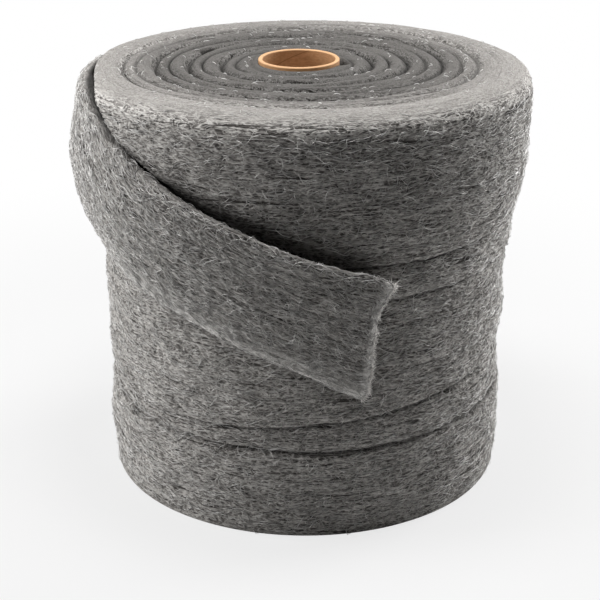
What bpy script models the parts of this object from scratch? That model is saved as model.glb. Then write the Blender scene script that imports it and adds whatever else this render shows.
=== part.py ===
"""Steel wool reel: one long ribbon of steel wool wound on a cardboard core, its free end hanging.

Metres, +Z up along the core, which stands on z = 0 with its axis through the origin. The front,
where the free end hangs, faces -Y. Angles go round the core from the front, counterclockwise seen
from above, which is also the way the ribbon runs outward to its free end.
"""
from collections import namedtuple
from math import cos, degrees, exp, hypot, log, pi, radians, sin, tan

import bmesh
import bpy
from mathutils import Vector

MM = 0.001

# Cardboard core tube
CORE_LENGTH = 356 * MM
CORE_RADIUS = 33.3 * MM
CORE_WALL = 3.3 * MM
CORE_EDGE_ROUNDING = 0.7 * MM
CORE_SEGMENTS = 56

# Winding: its outline from the foot to the rim
CORE_CLEARANCE = 0.3 * MM
CORE_STAND_OUT = 3.5 * MM
FOOT_RADIUS = 167 * MM
FOOT_ROUNDING = 5 * MM
RIM_OVERHANG = 18.5 * MM
RIM_ROUNDING = 24 * MM
RIM_DROP = 17 * MM
RIM_SOFTNESS = 0.85
TOP_SLOPE = radians(1.1)
OFF_CENTRE_RIGHT = 5.6 * MM
OFF_CENTRE_BACK = 5.5 * MM
COLUMNS = 68

# Soft dents and lumps of the matted wool on the side: (waves round, height of a wave, sway, shift)
LUMP_HEIGHT = 0.75 * MM
LUMP_SPACING = 78 * MM
NEAR_LUMP_SPACING = 61 * MM
LUMP_WAVES = ((16, LUMP_SPACING, 1.4, 0.3), (11, NEAR_LUMP_SPACING, -2.1, 2.2))
LUMP_SWAYS = 2

# Turns of the ribbon, as they show on the top
TURNS = 9
TURN_GROOVE_DEPTH = 4.5 * MM
TURN_GROOVE_WAVE = 1.5 * MM
TURN_CROWN_WAVE = 1.2 * MM
TURN_CROWN_WAVES = 2
TURN_WANDER = 1.5 * MM
TURN_WANDER_WAVES = 3
TURN_SHIFT = 3.0
TURN_FADE = 14 * MM

# Bands that the outer turns leave down the side, as heights from the foot or depths from the top, and
# how far each stands out from the foot's radius where it starts and ends
FOOT_BAND_HEIGHT = 82.5 * MM
FOOT_BAND_TILT = 6 * MM
LENS_HEIGHT = 105.5 * MM
LENS_TILT = 15.5 * MM
TOP_BAND_DEPTH = 119.5 * MM
SECOND_BAND_DEPTH = 149.5 * MM
FOOT_BAND_END = 1.6 * MM
LENS_START = -0.6 * MM
LENS_END = -1.4 * MM
MIDDLE_START = -0.2 * MM
MIDDLE_END = 2.4 * MM
SECOND_START = 4.2 * MM
SECOND_END = 5.4 * MM
TOP_START = 8.4 * MM
EDGE_CREASE_WIDTH = 3 * MM
EDGE_CREASE_DEPTH = 1.8 * MM
BAND_BELLY = 0.8 * MM

# Free end of the ribbon
RIBBON_WIDTH = 101.6 * MM
RIBBON_THICKNESS = 8.5 * MM
PULLED_WIDER = 1.33
FALL_ANGLE = radians(21)
FALL_START = radians(-57.5)
FALL_SOFTNESS = radians(6)
CUT_ANGLE = radians(17.5)
CUT_SLANT = radians(5)
BURIED_ANGLE = radians(-150)
EMERGED_ANGLE = radians(-108)
BURIED_DEPTH = 11 * MM
ROOT_DEPTH = 10 * MM
HANGING_ANGLES = (radians(-66), radians(-46))
UPPER_HANGING_ANGLES = (radians(-50), radians(-43))
GIVING_WAY = 9 * MM
GIVING_WAY_ANGLES = (radians(-60), radians(80))
BRIDGED_HEIGHT = 18 * MM
WRAP_SLACK = 1 * MM
WRAP_BELLY = 12.5 * MM
STAND_OFF_START = radians(-72)
EDGE_STAND_OFF = 16 * MM
LOWER_EDGE_PRESS = 1 * MM
STATIONS = 50
OUTLINE_STEPS = 32
OUTLINE_PROBE = 3 * MM
SECTION_POINTS = 14
SECTION_SQUARENESS = 2.5
CUT_ROUNDING = 2.5 * MM

# Crevice that the last turn's upper edge presses into the winding
CREVICE_DEPTH = 5 * MM
CREVICE_BELOW = 5 * MM
CREVICE_ABOVE = 5 * MM
CREVICE_START = (radians(-110), radians(-92))
CREVICE_END = (radians(-48), radians(-28))

# Worked out from the sizes above
BORE_RADIUS = CORE_RADIUS + CORE_CLEARANCE
TOP_HEIGHT = CORE_LENGTH - CORE_STAND_OUT
RIM_RADIUS = FOOT_RADIUS + RIM_OVERHANG
SHOULDER_RADIUS = RIM_RADIUS - RIM_ROUNDING
TURN_PITCH = (SHOULDER_RADIUS - BORE_RADIUS) / TURNS
PULLED_WIDTH = PULLED_WIDER * RIBBON_WIDTH

# A band edge: the crease where one outer turn laps over the next. It runs round the winding at
# `height`, tilted so that it is highest at `high_side`. `below` and `above` are how far the wool on
# each side of it stands out from the foot's radius.
BandEdge = namedtuple("BandEdge", "height tilt high_side below above")
BAND_EDGES = (
    BandEdge(FOOT_BAND_HEIGHT, FOOT_BAND_TILT, radians(190), FOOT_BAND_END, LENS_START),
    BandEdge(LENS_HEIGHT, LENS_TILT, radians(117), LENS_END, MIDDLE_START),
    BandEdge(TOP_HEIGHT - SECOND_BAND_DEPTH, 0.0, 0.0, MIDDLE_END, SECOND_START),
    BandEdge(TOP_HEIGHT - TOP_BAND_DEPTH, 0.0, 0.0, SECOND_END, TOP_START),
)

# Rows between two edges, as fractions of the way up; the flared top band has the closest ones
BAND_FRACTIONS = (0.33, 0.67)
TOP_BAND_FRACTIONS = (0.12, 0.3, 0.6)
RIM_STEPS = 4

# Where each row of a turn lies across it, and how far it dips into the groove
TURN_ROWS = ((0.0, 1.0), (0.12, 0.3), (0.5, 0.0), (0.88, 0.3))

# Where the last turn hugs the winding: how far its upper edge reaches past the rim's foot at angles
# in degrees, as shares of the rim's rounding, and how far its middle line stands out at places across
# it from below, as shares of its thickness
REACH_ANGLES = (-145, -98, -82, -70, -63, -57, -47, -40)
EDGE_REACHES = (0.58, 0.96, 0.96, 0.71, 0.33, -0.38, -1.08, -1.5)
PUFF_PLACES = (0.0, 0.25, 0.5, 0.7, 0.85, 1.0)
PUFFS = (0.38, 0.92, 0.96, 0.58, 0.02, -0.26)


def smooth_step(value, start, end):
    """Rise from 0 at `start` to 1 at `end` with level ends."""
    share = min(max((value - start) / (end - start), 0.0), 1.0)
    return share * share * (3 - 2 * share)


def soft_ramp(value, start, softness):
    """Stay near 0 before `start`, then rise one for one, with a rounded corner."""
    return softness * log(1 + exp((value - start) / softness))


def interpolate(place, places, values):
    """Value at a place on the line through points, with level ends."""
    for index in range(1, len(places)):
        if place <= places[index]:
            share = (place - places[index - 1]) / (places[index] - places[index - 1])
            return values[index - 1] + (values[index] - values[index - 1]) * max(share, 0.0)
    return values[-1]


def round_core(angle, radius, height):
    """Point at a radius from the winding's own centre, which drifts off the core's axis outward."""
    drift = min((radius - BORE_RADIUS) / (FOOT_RADIUS - BORE_RADIUS), 1.0)
    x = OFF_CENTRE_RIGHT * drift + radius * sin(angle)
    y = OFF_CENTRE_BACK * drift - radius * cos(angle)
    return Vector((x, y, height))


def top_height(angle, radius):
    """Height of the winding's top, which slopes down toward the back."""
    return TOP_HEIGHT + tan(TOP_SLOPE) * radius * cos(angle)


def rim_foot(angle):
    """Height at which the side ends and the rim's rounding starts."""
    return top_height(angle, RIM_RADIUS) - RIM_DROP


def soft_lumps(angle, height):
    """How far the matted wool stands out in soft lumps and dents on the side."""
    level = 0.0
    for waves, wave_height, sway, shift in LUMP_WAVES:
        sway *= sin(LUMP_SWAYS * angle + shift)
        level += sin(waves * angle + sway) * sin(2 * pi * height / wave_height + 3 * sway + shift)
    fade = smooth_step(height, 0.0, FOOT_BAND_HEIGHT / 2) * (1 - smooth_step(height, rim_foot(angle), TOP_HEIGHT))
    return LUMP_HEIGHT * level * fade


def edge_height(edge, angle):
    return edge.height + edge.tilt * cos(angle - edge.high_side)


def side_profile(angle):
    """(radius, height) up the side of the winding at one angle, from the foot to under the rim."""
    rows = [(FOOT_RADIUS, FOOT_ROUNDING)]
    for edge in BAND_EDGES:
        start_radius, start_height = rows[-1]
        end_radius = FOOT_RADIUS + edge.below
        end_height = edge_height(edge, angle) - EDGE_CREASE_WIDTH / 2
        for fraction in BAND_FRACTIONS:
            belly = BAND_BELLY * 4 * fraction * (1 - fraction)
            radius = start_radius + (end_radius - start_radius) * fraction + belly
            rows.append((radius, start_height + (end_height - start_height) * fraction))
        crease = FOOT_RADIUS + min(edge.below, edge.above) - EDGE_CREASE_DEPTH
        rows.append((end_radius, end_height))
        rows.append((crease, edge_height(edge, angle)))
        rows.append((FOOT_RADIUS + edge.above, edge_height(edge, angle) + EDGE_CREASE_WIDTH / 2))
    start_radius, start_height = rows[-1]
    for fraction in TOP_BAND_FRACTIONS:
        flare = 1 - (1 - fraction) ** 3
        radius = start_radius + (RIM_RADIUS - start_radius) * flare
        rows.append((radius, start_height + (rim_foot(angle) - start_height) * fraction))
    rows.append((RIM_RADIUS, rim_foot(angle)))
    return [(radius + soft_lumps(angle, height), height) for radius, height in rows]


def rim_profile(angle, steps):
    """(radius, height) round the soft rim, from above its foot to its shoulder, in `steps` rows."""
    rows = []
    for step in range(1, steps + 1):
        turn = step * pi / 2 / steps
        radius = SHOULDER_RADIUS + (RIM_RADIUS - SHOULDER_RADIUS) * cos(turn) ** RIM_SOFTNESS
        rows.append((radius, top_height(angle, radius) - RIM_DROP * (1 - sin(turn) ** RIM_SOFTNESS)))
    return rows


def foot_profile():
    """(radius, height) across the flat underside and round the foot's edge."""
    rows = [(BORE_RADIUS, 0.0), (FOOT_RADIUS - FOOT_ROUNDING, 0.0)]
    for step in (1, 2):
        turn = step * pi / 6
        radius = FOOT_RADIUS - FOOT_ROUNDING * (1 - sin(turn))
        rows.append((radius, FOOT_ROUNDING * (1 - cos(turn))))
    return rows


def turns_profile(angle):
    """(radius, height) across the turns on the top, from the rim in to the core.

    Every row keeps its place across its turn, and moves out by one pitch in a trip round the core,
    so the rows trace the spiral. Rows that run past either end lie on that end together. The turns
    wave up and down and from side to side, each wave shifted from one turn to the next, and about
    every other groove is deeper.
    """
    trip = (angle + pi) / (2 * pi)
    rows = []
    for turn in range(TURNS + 1):
        for across, dip in TURN_ROWS:
            along = turn + trip
            count = min(max(turn - 1 + across + trip, 0.0), TURNS)
            radius = BORE_RADIUS + TURN_PITCH * count
            margin = min(radius - BORE_RADIUS, SHOULDER_RADIUS - radius)
            fade = smooth_step(margin, 0.0, TURN_FADE)
            shift = TURN_SHIFT * along
            radius += fade * TURN_WANDER * sin(TURN_WANDER_WAVES * angle + shift)
            height = top_height(angle, radius)
            height += fade * TURN_CROWN_WAVE * sin(TURN_CROWN_WAVES * angle + shift)
            height -= fade * dip * (TURN_GROOVE_DEPTH - TURN_GROOVE_WAVE * cos(shift))
            rows.append((radius, height))
    rows.append((SHOULDER_RADIUS, top_height(angle, SHOULDER_RADIUS)))
    return rows[::-1]


def ribbon_edges(angle):
    """Heights of the last turn's lower and upper edge where it hangs.

    Pulled over the winding it runs level. Past the left side it falls at a steady angle across the
    front.
    """
    fall = soft_ramp(angle, FALL_START, FALL_SOFTNESS) * RIM_RADIUS * tan(FALL_ANGLE)
    lower = TOP_HEIGHT - PULLED_WIDTH - fall
    return lower, lower + RIBBON_WIDTH / cos(FALL_ANGLE)


def upper_reach(angle):
    """How far the last turn's upper edge reaches past the rim's foot, along the winding's outline."""
    nearby = [degrees(angle) + step for step in (-2.5, -1.25, 0.0, 1.25, 2.5)]
    reaches = [RIM_ROUNDING * interpolate(place, REACH_ANGLES, EDGE_REACHES) for place in nearby]
    hugging = sum(reaches) / len(reaches)
    hanging = ribbon_edges(angle)[1] - rim_foot(angle)
    return hugging + (hanging - hugging) * smooth_step(angle, *UPPER_HANGING_ANGLES)


class Outline:
    """The winding's outline up its side and round its rim at one angle, measured along its length."""

    def __init__(self, rows, rim_foot_row):
        self.radii = [radius for radius, _ in rows]
        self.heights = [height for _, height in rows]
        lengths = [0.0]
        for (near_radius, near), (far_radius, far) in zip(rows, rows[1:]):
            lengths.append(lengths[-1] + hypot(far_radius - near_radius, far - near))
        self.lengths = [length - lengths[rim_foot_row] for length in lengths]

    def point(self, length, out=0.0):
        """(radius, height) at a length past the rim's foot, moved `out` away from the winding."""
        radius = interpolate(length, self.lengths, self.radii)
        height = interpolate(length, self.lengths, self.heights)
        out_radius, out_height = self.outward(length)
        return radius + out * out_radius, height + out * out_height

    def outward(self, length):
        """Direction away from the winding, as parts of one along the radius and the height."""
        ends = (length - OUTLINE_PROBE, length + OUTLINE_PROBE)
        radii = [interpolate(end, self.lengths, self.radii) for end in ends]
        heights = [interpolate(end, self.lengths, self.heights) for end in ends]
        size = hypot(radii[1] - radii[0], heights[1] - heights[0])
        return (heights[1] - heights[0]) / size, (radii[0] - radii[1]) / size


def even_radius(height, profile):
    """Mean radius of the side near a height: a ribbon laid on it bridges the creases."""
    heights = [row_height for _, row_height in profile]
    radii = [radius for radius, _ in profile]
    reach = [BRIDGED_HEIGHT * step / 4 for step in range(-4, 5)]
    return sum(interpolate(height + step, heights, radii) for step in reach) / len(reach)


def pressed_winding(angle):
    """(radius, height) up the side and round the rim, pressed in along the last turn's upper edge.

    Two rows slide along the outline to run beside that edge, and the lower one is pressed in: its
    number comes second, or None where the edge presses nowhere. The shoulder isn't among the rows,
    because the turns on the top start with it.
    """
    rows = side_profile(angle)
    outline = Outline(rows + rim_profile(angle, RIM_STEPS), len(rows) - 1)
    edge = upper_reach(angle)
    covered = smooth_step(angle, *CREVICE_START) * (1 - smooth_step(angle, *CREVICE_END))
    lengths = list(outline.lengths)
    below = min(range(len(lengths) - 2), key=lambda row: abs(lengths[row] - edge + CREVICE_BELOW))
    lengths[below] += covered * (edge - CREVICE_BELOW - lengths[below])
    lengths[below + 1] += covered * (edge + CREVICE_ABOVE - lengths[below + 1])
    pressed = [outline.point(length) for length in lengths]
    pressed[below] = outline.point(lengths[below], -CREVICE_DEPTH * covered)
    return pressed[:-1], below if covered > 0 else None


def ribbon_section(angle, shrink=0.0):
    """Closed outline of the last turn's section, a rounded band.

    Behind the left side it hugs the winding, over the soft rim, and is rooted in it. Toward the
    front it comes to hang straight, with its upper edge leaning away from the winding.
    """
    lower = ribbon_edges(angle)[0]
    profile = side_profile(angle)
    step = (rim_foot(angle) - lower) / OUTLINE_STEPS
    heights = [lower + step * count for count in range(-1, OUTLINE_STEPS + 1)]
    rows = [(even_radius(height, profile), height) for height in heights]
    outline = Outline(rows + rim_profile(angle, 4 * RIM_STEPS), len(rows) - 1)
    low_length = outline.lengths[1]
    high_length = upper_reach(angle)
    upper = outline.point(high_length)[1]
    buried = BURIED_DEPTH * (1 - smooth_step(angle, BURIED_ANGLE, EMERGED_ANGLE))

    away = smooth_step(angle, STAND_OFF_START, 0.0)
    stand_off = WRAP_SLACK + (EDGE_STAND_OFF - WRAP_SLACK) * away
    behind = RIM_RADIUS - GIVING_WAY * (1 - smooth_step(angle, *GIVING_WAY_ANGLES))
    low = even_radius(lower, profile) + RIBBON_THICKNESS / 2 - LOWER_EDGE_PRESS
    high = min(even_radius(upper, profile), behind) + RIBBON_THICKNESS / 2 + stand_off
    hangs = smooth_step(angle, *HANGING_ANGLES)

    section = []
    for point in range(SECTION_POINTS):
        turn = 2 * pi * point / SECTION_POINTS
        width_way = abs(cos(turn)) ** (2 / SECTION_SQUARENESS) * (1 if cos(turn) > 0 else -1)
        depth_way = abs(sin(turn)) ** (2 / SECTION_SQUARENESS) * (1 if sin(turn) > 0 else -1)
        share = (1 + width_way * (1 - 2 * shrink / RIBBON_WIDTH)) / 2
        length = low_length + (high_length - low_length) * share
        puff = RIBBON_THICKNESS * interpolate(share, PUFF_PLACES, PUFFS)
        hug_radius, hug_height = outline.point(length, puff - buried)
        out_radius, out_height = outline.outward(length)
        hang_radius = low + (high - low) * share + WRAP_BELLY * (1 - away) * 4 * share * (1 - share)
        hang_height = lower + (upper - lower) * share
        out_radius, out_height = out_radius * (1 - hangs) + hangs, out_height * (1 - hangs)
        half_depth = (RIBBON_THICKNESS / 2 - shrink) * depth_way
        half_depth += ROOT_DEPTH * (1 - hangs) * min(depth_way, 0.0)
        half_depth /= hypot(out_radius, out_height)
        radius = hug_radius + (hang_radius - hug_radius) * hangs + half_depth * out_radius
        height = hug_height + (hang_height - hug_height) * hangs + half_depth * out_height
        section.append(round_core(angle + CUT_SLANT * (share - 0.5), radius, height))
    return section


def mesh_object(name, mesh_data, material):
    """Finish a bmesh as a smooth-shaded object with its faces pointing out."""
    bmesh.ops.recalc_face_normals(mesh_data, faces=mesh_data.faces)
    mesh = bpy.data.meshes.new(name)
    mesh_data.to_mesh(mesh)
    mesh_data.free()
    mesh.shade_smooth()
    mesh.set_sharp_from_angle(angle=radians(40))
    mesh.materials.append(material)
    part = bpy.data.objects.new(name, mesh)
    bpy.context.scene.collection.objects.link(part)
    return part


def make_material(name, color, roughness, metallic):
    material = bpy.data.materials.new(name)
    material.use_nodes = True
    shader = material.node_tree.nodes["Principled BSDF"]
    shader.inputs["Base Color"].default_value = (*color, 1.0)
    shader.inputs["Roughness"].default_value = roughness
    shader.inputs["Metallic"].default_value = metallic
    material.diffuse_color = (*color, 1.0)
    return material


def make_core(material):
    """Turn the core's wall section round the axis."""
    section = bmesh.new()
    inner = CORE_RADIUS - CORE_WALL
    corners = (
        (CORE_RADIUS, CORE_LENGTH, 1, 1),
        (CORE_RADIUS, 0.0, 1, -1),
        (inner, 0.0, -1, -1),
        (inner, CORE_LENGTH, -1, 1),
    )
    outline = []
    for radius, height, side, end in corners:
        along_end = Vector((radius - side * CORE_EDGE_ROUNDING, 0.0, height))
        along_wall = Vector((radius, 0.0, height - end * CORE_EDGE_ROUNDING))
        pair = [along_end, along_wall] if side == end else [along_wall, along_end]
        outline += [section.verts.new(point) for point in pair]
    edges = [section.edges.new(pair) for pair in zip(outline, outline[1:] + outline[:1])]
    bmesh.ops.spin(
        section,
        geom=outline + edges,
        axis=(0.0, 0.0, 1.0),
        cent=(0.0, 0.0, 0.0),
        angle=2 * pi,
        steps=CORE_SEGMENTS,
        use_merge=True,
    )
    bmesh.ops.remove_doubles(section, verts=section.verts, dist=0.001 * MM)
    return mesh_object("core_tube", section, material)


def make_winding(material):
    """Skin the winding column by column; each column is its section outline at one angle.

    Where the crevice passes from one row to another between two columns, the faces between them are
    triangles that share its edge, so that it runs on.
    """
    skin = bmesh.new()
    foot = foot_profile()
    columns = []
    crevices = []
    for column in range(COLUMNS + 1):
        angle = 2 * pi * column / COLUMNS - pi
        side, crevice = pressed_winding(angle)
        rows = foot + side + turns_profile(angle)
        columns.append([skin.verts.new(round_core(angle, *row)) for row in rows])
        crevices.append(crevice and crevice + len(foot))
    for column in range(COLUMNS):
        left, right = columns[column : column + 2]
        crevice = crevices[column : column + 2]
        lowest, highest = (0, 0) if None in crevice else (min(crevice), max(crevice))
        for row in range(len(left)):
            if lowest < row <= highest:
                skin.faces.new((left[row - 1], right[crevice[1]], left[row]))
                skin.faces.new((right[row - 1], right[row], left[crevice[0]]))
            else:
                skin.faces.new((left[row - 1], right[row - 1], right[row], left[row]))
    bmesh.ops.remove_doubles(skin, verts=skin.verts, dist=0.01 * MM)
    return mesh_object("steel_wool_ribbon", skin, material)


def make_free_end(material):
    """Loft the last turn along its way out of the winding, over the left side and down the front."""
    loft = bmesh.new()
    sections = []
    for station in range(STATIONS):
        share = station / (STATIONS - 1)
        sections.append(ribbon_section(BURIED_ANGLE + (CUT_ANGLE - BURIED_ANGLE) * share))
    cut_face = ribbon_section(CUT_ANGLE + CUT_ROUNDING / RIM_RADIUS, CUT_ROUNDING)
    sections.append(cut_face)
    rings = [[loft.verts.new(point) for point in section] for section in sections]
    for near, far in zip(rings, rings[1:]):
        for point in range(SECTION_POINTS):
            loft.faces.new((near[point - 1], near[point], far[point], far[point - 1]))
    loft.faces.new(rings[0])
    loft.faces.new(rings[-1])
    return mesh_object("ribbon_free_end", loft, material)


def join_free_end(winding, free_end):
    """Make the ribbon one solid: its last turn grows out of the turns beneath."""
    union = winding.modifiers.new("Last turn", "BOOLEAN")
    union.operation = "UNION"
    union.solver = "EXACT"
    union.object = free_end
    free_end.hide_render = True
    free_end.display_type = "WIRE"


def main():
    for leftover in list(bpy.data.objects):
        bpy.data.objects.remove(leftover)
    cardboard = make_material("cardboard", (0.45, 0.27, 0.14), 0.85, 0.0)
    steel_wool = make_material("steel_wool", (0.30, 0.29, 0.28), 0.55, 0.7)
    make_core(cardboard)
    winding = make_winding(steel_wool)
    free_end = make_free_end(steel_wool)
    join_free_end(winding, free_end)


main()
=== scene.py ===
# %% [markdown]
# # A reel of steel wool on a cardboard core
#
# Steel wool is made by shaving a wire into long, fine, sharp-edged fibres. They leave the machine as
# one loose flat ribbon, which is wound round a cardboard tube until it makes a heavy reel. What the eye
# reads as "steel wool" is not a smooth grey skin: it is matted fibres lying mostly one way, with short
# dark slits between them and pale strands crossing on top.
#
# The solid model already has the reel's true size and form. This script gives it that surface in four
# layers: a dense skin with real relief, a fine grain in the material, many thousands of real fibres
# laid along the skin, and soft light that shows all of it.

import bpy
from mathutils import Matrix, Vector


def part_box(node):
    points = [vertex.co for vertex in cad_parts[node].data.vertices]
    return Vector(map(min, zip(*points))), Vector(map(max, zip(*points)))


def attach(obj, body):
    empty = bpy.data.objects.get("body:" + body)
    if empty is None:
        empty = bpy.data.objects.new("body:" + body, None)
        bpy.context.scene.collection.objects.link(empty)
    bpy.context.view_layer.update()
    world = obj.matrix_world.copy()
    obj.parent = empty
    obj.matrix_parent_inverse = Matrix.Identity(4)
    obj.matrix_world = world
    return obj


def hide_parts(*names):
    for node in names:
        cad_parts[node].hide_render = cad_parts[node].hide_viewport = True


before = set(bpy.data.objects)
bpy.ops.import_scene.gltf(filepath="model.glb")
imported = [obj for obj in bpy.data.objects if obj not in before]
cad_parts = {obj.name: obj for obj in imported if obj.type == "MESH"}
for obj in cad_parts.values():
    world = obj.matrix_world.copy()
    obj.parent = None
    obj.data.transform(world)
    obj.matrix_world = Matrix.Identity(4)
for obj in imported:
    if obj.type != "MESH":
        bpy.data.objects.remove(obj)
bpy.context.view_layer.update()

# %% Tools and units
from collections import namedtuple
from math import cos, exp, log, pi, radians, sin, sqrt, tan

import bpy
import numpy as np
from mathutils import Vector

MM = 0.001

# %% [markdown]
# ## Camera
#
# The view is a long lens a little above the reel, looking down on it by 22 degrees. The focal length is
# kept as pixels, as it is measured in a picture, and turned into millimetres on a 36 mm sensor.

# %% Camera
IMAGE_PIXELS = 600
FOCAL_PIXELS = 1654
SENSOR_WIDTH = 36
LOOKING_DOWN = radians(22)
CAMERA_PLACE = (0.9 * MM, -1329.8 * MM, 679.6 * MM)

camera_data = bpy.data.cameras.new("camera")
camera_data.sensor_width = SENSOR_WIDTH
camera_data.lens = SENSOR_WIDTH * FOCAL_PIXELS / IMAGE_PIXELS
camera = bpy.data.objects.new("camera", camera_data)
camera.location = CAMERA_PLACE
camera.rotation_euler = (pi / 2 - LOOKING_DOWN, 0, 0)
bpy.context.scene.collection.objects.link(camera)
bpy.context.scene.camera = camera
print("lens:", round(camera_data.lens, 1), "mm")

# %% [markdown]
# ## Floor and light
#
# A studio floor that fades to white needs no extra light on the object. The camera sees mostly an
# even white there, mixed near the reel with a little of the real floor, so its soft shadow stays.
# Light Path tells the material which rays come from the camera or from a mirror.

# %% Floor
FLOOR_SIZE = 12.0
FLOOR_DROP = 0.3 * MM
WHITE_SHARE_NEAR = 0.78
WHITE_RADIUS = (0.30, 0.85)


def add_node(tree, kind, place=(0, 0), **settings):
    """Add a shader node and set its properties by name."""
    node = tree.nodes.new(kind)
    node.location = place
    for name, value in settings.items():
        setattr(node, name, value)
    return node


def seen_directly(tree):
    """1 for rays from the camera, a mirror or a glass, and 0 for light that only brightens things."""
    rays = add_node(tree, "ShaderNodeLightPath")
    either = add_node(tree, "ShaderNodeMath", operation="MAXIMUM")
    seen = add_node(tree, "ShaderNodeMath", operation="MAXIMUM")
    tree.links.new(rays.outputs["Is Camera Ray"], either.inputs[0])
    tree.links.new(rays.outputs["Is Glossy Ray"], either.inputs[1])
    tree.links.new(either.outputs[0], seen.inputs[0])
    tree.links.new(rays.outputs["Is Transmission Ray"], seen.inputs[1])
    return seen.outputs[0]


def make_floor():
    material = bpy.data.materials.new("studio_floor")
    material.use_nodes = True
    tree = material.node_tree
    tree.nodes.clear()
    output = add_node(tree, "ShaderNodeOutputMaterial")
    paint = add_node(tree, "ShaderNodeBsdfDiffuse")
    paint.inputs["Color"].default_value = (0.68, 0.68, 0.68, 1)
    white = add_node(tree, "ShaderNodeEmission")
    mix = add_node(tree, "ShaderNodeMixShader")
    away = add_node(tree, "ShaderNodeVectorMath", operation="LENGTH")
    tree.links.new(add_node(tree, "ShaderNodeTexCoord").outputs["Object"], away.inputs[0])
    nearby = add_node(tree, "ShaderNodeMapRange", interpolation_type="SMOOTHSTEP")
    nearby.inputs["From Min"].default_value = WHITE_RADIUS[0]
    nearby.inputs["From Max"].default_value = WHITE_RADIUS[1]
    nearby.inputs["To Min"].default_value = WHITE_SHARE_NEAR
    tree.links.new(away.outputs["Value"], nearby.inputs["Value"])
    share = add_node(tree, "ShaderNodeMath", operation="MULTIPLY")
    tree.links.new(seen_directly(tree), share.inputs[0])
    tree.links.new(nearby.outputs["Result"], share.inputs[1])
    tree.links.new(share.outputs[0], mix.inputs["Fac"])
    tree.links.new(paint.outputs[0], mix.inputs[1])
    tree.links.new(white.outputs[0], mix.inputs[2])
    tree.links.new(mix.outputs[0], output.inputs["Surface"])
    bpy.ops.mesh.primitive_plane_add(size=FLOOR_SIZE, location=(0, 0, -FLOOR_DROP))
    floor = bpy.context.object
    floor.name = "studio_floor"
    floor.data.materials.append(material)
    return floor


make_floor()
print("floor:", FLOOR_SIZE, "m wide")

# %% [markdown]
# The reel stands between two tall softboxes, one on each side, with a third overhead. Light that
# rakes along the wool from the sides shows every slit, and the front, which faces neither box, falls
# into a soft shade. The world adds a weak even fill.

# %% Lamps
AMBIENT = 0.005
SUBJECT = Vector((0, 0, 0.19))

# name, place, width, height, power in watts
SOFTBOXES = (
    ("left_softbox", (-1.58, 0.0, 0.41), 0.8, 1.4, 30),
    ("right_softbox", (1.36, 0.78, 0.52), 0.8, 1.4, 30),
    ("back_softbox", (0.0, 1.23, 1.22), 1.2, 0.8, 2),
    ("top_softbox", (0.0, -0.09, 1.1), 0.3, 0.3, 7.2),
)


def make_softbox(name, place, width, height, power):
    lamp = bpy.data.lights.new(name, "AREA")
    lamp.shape = "RECTANGLE"
    lamp.size = width
    lamp.size_y = height
    lamp.energy = power
    softbox = bpy.data.objects.new(name, lamp)
    softbox.location = place
    softbox.rotation_euler = (SUBJECT - Vector(place)).to_track_quat("-Z", "Y").to_euler()
    bpy.context.scene.collection.objects.link(softbox)


def make_world():
    world = bpy.data.worlds.new("studio")
    bpy.context.scene.world = world
    world.use_nodes = True
    tree = world.node_tree
    backdrop = tree.nodes["Background"]
    backdrop.inputs["Color"].default_value = (1, 1, 1, 1)
    strength = add_node(tree, "ShaderNodeMapRange")
    strength.inputs["To Min"].default_value = AMBIENT
    strength.inputs["To Max"].default_value = 1.0
    tree.links.new(seen_directly(tree), strength.inputs["Value"])
    tree.links.new(strength.outputs["Result"], backdrop.inputs["Strength"])


for softbox in SOFTBOXES:
    make_softbox(*softbox)
make_world()
bpy.context.scene.view_settings.view_transform = "Standard"
print("softboxes:", len(SOFTBOXES))

# %% [markdown]
# ## Cardboard core
#
# The core is a tube of brown board, wound in a long spiral from strips of paper. It keeps its solid,
# which has the right size, and only needs a better finish: a faint fibre mottle, the thin dark line
# where one strip meets the next, and paler raw layers on the sawn end.

# %% Cardboard
CARDBOARD_COLORS = ((0.44, 0.215, 0.088), (0.62, 0.345, 0.16))
SEAM_COLOR = (0.38, 0.185, 0.076)
END_COLOR = (0.76, 0.51, 0.31)
STRIP_PITCH = 74 * MM
SEAM_SHARE = 0.012
LAYER_THICKNESS = 0.55 * MM


def ramp_node(tree, stops, interpolation="LINEAR"):
    """A color ramp with the given (position, color) stops."""
    node = add_node(tree, "ShaderNodeValToRGB")
    node.color_ramp.interpolation = interpolation
    elements = node.color_ramp.elements
    while len(elements) < len(stops):
        elements.new(0.5)
    for element, (position, color) in zip(elements, stops):
        element.position = position
        element.color = (*color, 1) if len(color) == 3 else color
    return node


def math_node(tree, operation, first, second=None, clamp=False):
    """A math node whose inputs are sockets or plain numbers."""
    node = add_node(tree, "ShaderNodeMath", operation=operation, use_clamp=clamp)
    for value, socket in zip((first, second), node.inputs):
        if isinstance(value, bpy.types.NodeSocket):
            tree.links.new(value, socket)
        elif value is not None:
            socket.default_value = value
    return node.outputs[0]


def noise_node(tree, vector, scale, detail=3.0, roughness=0.6, distortion=0.0):
    node = add_node(tree, "ShaderNodeTexNoise")
    node.inputs["Scale"].default_value = scale
    node.inputs["Detail"].default_value = detail
    node.inputs["Roughness"].default_value = roughness
    node.inputs["Distortion"].default_value = distortion
    tree.links.new(vector, node.inputs["Vector"])
    return node.outputs["Fac"]


def mix_colors(tree, share, first, second, blend="MIX"):
    """Blend two colors, each a socket or a plain color, by a socket or a number."""
    node = add_node(tree, "ShaderNodeMix", data_type="RGBA", blend_type=blend)
    for value, socket in ((share, node.inputs[0]), (first, node.inputs[6]), (second, node.inputs[7])):
        if isinstance(value, bpy.types.NodeSocket):
            tree.links.new(value, socket)
        elif isinstance(value, tuple):
            socket.default_value = (*value, 1)
        else:
            socket.default_value = value
    return node.outputs[2]


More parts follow.
